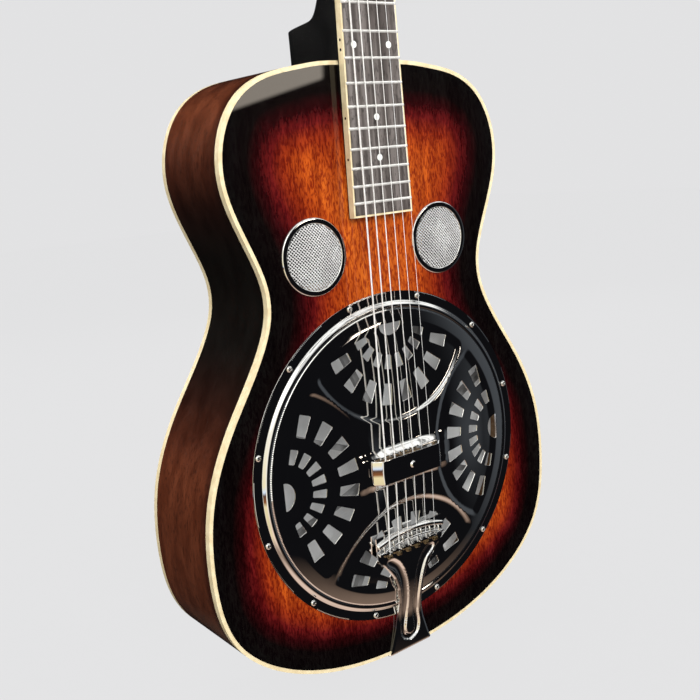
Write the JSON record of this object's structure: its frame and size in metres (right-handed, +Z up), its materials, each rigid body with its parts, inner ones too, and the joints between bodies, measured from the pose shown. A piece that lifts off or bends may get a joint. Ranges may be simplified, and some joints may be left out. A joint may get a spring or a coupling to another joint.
{
  "type": "resonator guitar",
  "caption": "Twelve-fret wood-bodied resonator guitar with a fan-cut metal coverplate over a spider-bridge cone, stamped tailpiece, screened soundholes and slotted headstock with worm tuners.",
  "frame": {"origin": "the strap pin on the tail of the body, at the middle of its narrow neck", "axes": "+Z up the neck, the front of the guitar faces -Y, +X is the viewer's right, the treble side"},
  "size_m": [0.3682, 0.1184, 1.0089],
  "materials": {
    "sunburst_top": "gloss lacquer over mahogany, shaded from orange-brown to black at the edge",
    "mahogany": "gloss lacquer over dark red-brown mahogany",
    "cream_binding": "polished cream plastic strip",
    "inner_wood": "bare sanded wood inside the box",
    "spun_aluminium": "bright spun aluminium",
    "cast_aluminium": "sand-cast aluminium",
    "maple": "bare maple",
    "steel": "plain steel",
    "chrome": "polished chrome plate",
    "wire_mesh": "woven plated wire",
    "black_lacquer": "gloss black lacquer over mahogany",
    "black_plastic": "polished black plastic",
    "rosewood": "open-pored rosewood, oiled",
    "pearl": "pearly plastic",
    "fret_metal": "polished nickel silver",
    "bone": "sanded bone-coloured plastic",
    "brass": "turned brass",
    "gear_brass": "brass with light tarnish",
    "knob_cream": "moulded cream plastic on a steel shaft",
    "plain_string": "bright drawn steel",
    "wound_string": "steel core wound with bronze-coloured wire"
  },
  "bodies": {
    "guitar": {"top": "sunburst_top", "sides": "mahogany", "back": "mahogany", "front_binding": "cream_binding", "back_binding": "cream_binding", "fingerboard_binding": "cream_binding", "linings": "inner_wood", "neck_block": "inner_wood", "tail_block": "inner_wood", "back_braces": "inner_wood", "soundwell": "inner_wood", "cone": "spun_aluminium", "spider": "cast_aluminium", "saddles": "maple", "tension_screw": "steel", "neck_bolts": "steel", "truss_rod": "steel", "coverplate": "chrome", "coverplate_screws": "chrome", "palm_rest": "chrome", "palm_screw": "chrome", "soundhole_rings": "chrome", "tailpiece": "chrome", "strap_pin": "chrome", "tuner_plates": "chrome", "tuner_plate_screws": "chrome", "truss_cover_screws": "chrome", "soundhole_screens": "wire_mesh", "neck": "black_lacquer", "headplate": "black_lacquer", "truss_cover": "black_plastic", "fingerboard": "rosewood", "position_dots": "pearl", "frets": "fret_metal", "nut": "bone", "ball_ends": "brass", "string_bass_e": "wound_string", "string_a": "wound_string", "string_d": "wound_string", "string_g": "wound_string", "string_b": "plain_string", "string_treble_e": "plain_string"},
    "winder_bass_e": {"post_bass_e": "chrome", "gear_bass_e": "gear_brass"},
    "tuning_knob_bass_e": {"knob_bass_e": "knob_cream"},
    "winder_a": {"post_a": "chrome", "gear_a": "gear_brass"},
    "tuning_knob_a": {"knob_a": "knob_cream"},
    "winder_d": {"post_d": "chrome", "gear_d": "gear_brass"},
    "tuning_knob_d": {"knob_d": "knob_cream"},
    "winder_g": {"post_g": "chrome", "gear_g": "gear_brass"},
    "tuning_knob_g": {"knob_g": "knob_cream"},
    "winder_b": {"post_b": "chrome", "gear_b": "gear_brass"},
    "tuning_knob_b": {"knob_b": "knob_cream"},
    "winder_treble_e": {"post_treble_e": "chrome", "gear_treble_e": "gear_brass"},
    "tuning_knob_treble_e": {"knob_treble_e": "knob_cream"}
  },
  "joints": [
    {"name": "turn_knob_bass_e", "type": "hinge", "parent": "guitar", "child": "tuning_knob_bass_e", "pos_m": [-0.03545, -0.03106, 0.88804], "axis": [0, -0.9703, 0.2419], "continuous": true},
    {"name": "wind_post_bass_e", "type": "hinge", "parent": "guitar", "child": "winder_bass_e", "pos_m": [-0.02, -0.03299, 0.88027], "axis": [1, 0, 0], "continuous": true},
    {"name": "turn_knob_a", "type": "hinge", "parent": "guitar", "child": "tuning_knob_a", "pos_m": [-0.03545, -0.02259, 0.922], "axis": [0, -0.9703, 0.2419], "continuous": true},
    {"name": "wind_post_a", "type": "hinge", "parent": "guitar", "child": "winder_a", "pos_m": [-0.02, -0.02453, 0.91423], "axis": [1, 0, 0], "continuous": true},
    {"name": "turn_knob_d", "type": "hinge", "parent": "guitar", "child": "tuning_knob_d", "pos_m": [-0.03545, -0.01412, 0.95596], "axis": [0, -0.9703, 0.2419], "continuous": true},
    {"name": "wind_post_d", "type": "hinge", "parent": "guitar", "child": "winder_d", "pos_m": [-0.02, -0.01606, 0.94819], "axis": [1, 0, 0], "continuous": true},
    {"name": "turn_knob_g", "type": "hinge", "parent": "guitar", "child": "tuning_knob_g", "pos_m": [0.03545, -0.01412, 0.95596], "axis": [0, -0.9703, 0.2419], "continuous": true},
    {"name": "wind_post_g", "type": "hinge", "parent": "guitar", "child": "winder_g", "pos_m": [0.02, -0.01606, 0.94819], "axis": [1, 0, 0], "continuous": true},
    {"name": "turn_knob_b", "type": "hinge", "parent": "guitar", "child": "tuning_knob_b", "pos_m": [0.03545, -0.02259, 0.922], "axis": [0, -0.9703, 0.2419], "continuous": true},
    {"name": "wind_post_b", "type": "hinge", "parent": "guitar", "child": "winder_b", "pos_m": [0.02, -0.02453, 0.91423], "axis": [1, 0, 0], "continuous": true},
    {"name": "turn_knob_treble_e", "type": "hinge", "parent": "guitar", "child": "tuning_knob_treble_e", "pos_m": [0.03545, -0.03106, 0.88804], "axis": [0, -0.9703, 0.2419], "continuous": true},
    {"name": "wind_post_treble_e", "type": "hinge", "parent": "guitar", "child": "winder_treble_e", "pos_m": [0.02, -0.03299, 0.88027], "axis": [1, 0, 0], "continuous": true}
  ],
  "couplings": [
    {"joint": "wind_post_bass_e", "follows": "turn_knob_bass_e", "ratio": -0.071429},
    {"joint": "wind_post_a", "follows": "turn_knob_a", "ratio": -0.071429},
    {"joint": "wind_post_d", "follows": "turn_knob_d", "ratio": -0.071429},
    {"joint": "wind_post_g", "follows": "turn_knob_g", "ratio": -0.071429},
    {"joint": "wind_post_b", "follows": "turn_knob_b", "ratio": -0.071429},
    {"joint": "wind_post_treble_e", "follows": "turn_knob_treble_e", "ratio": -0.071429}
  ]
}
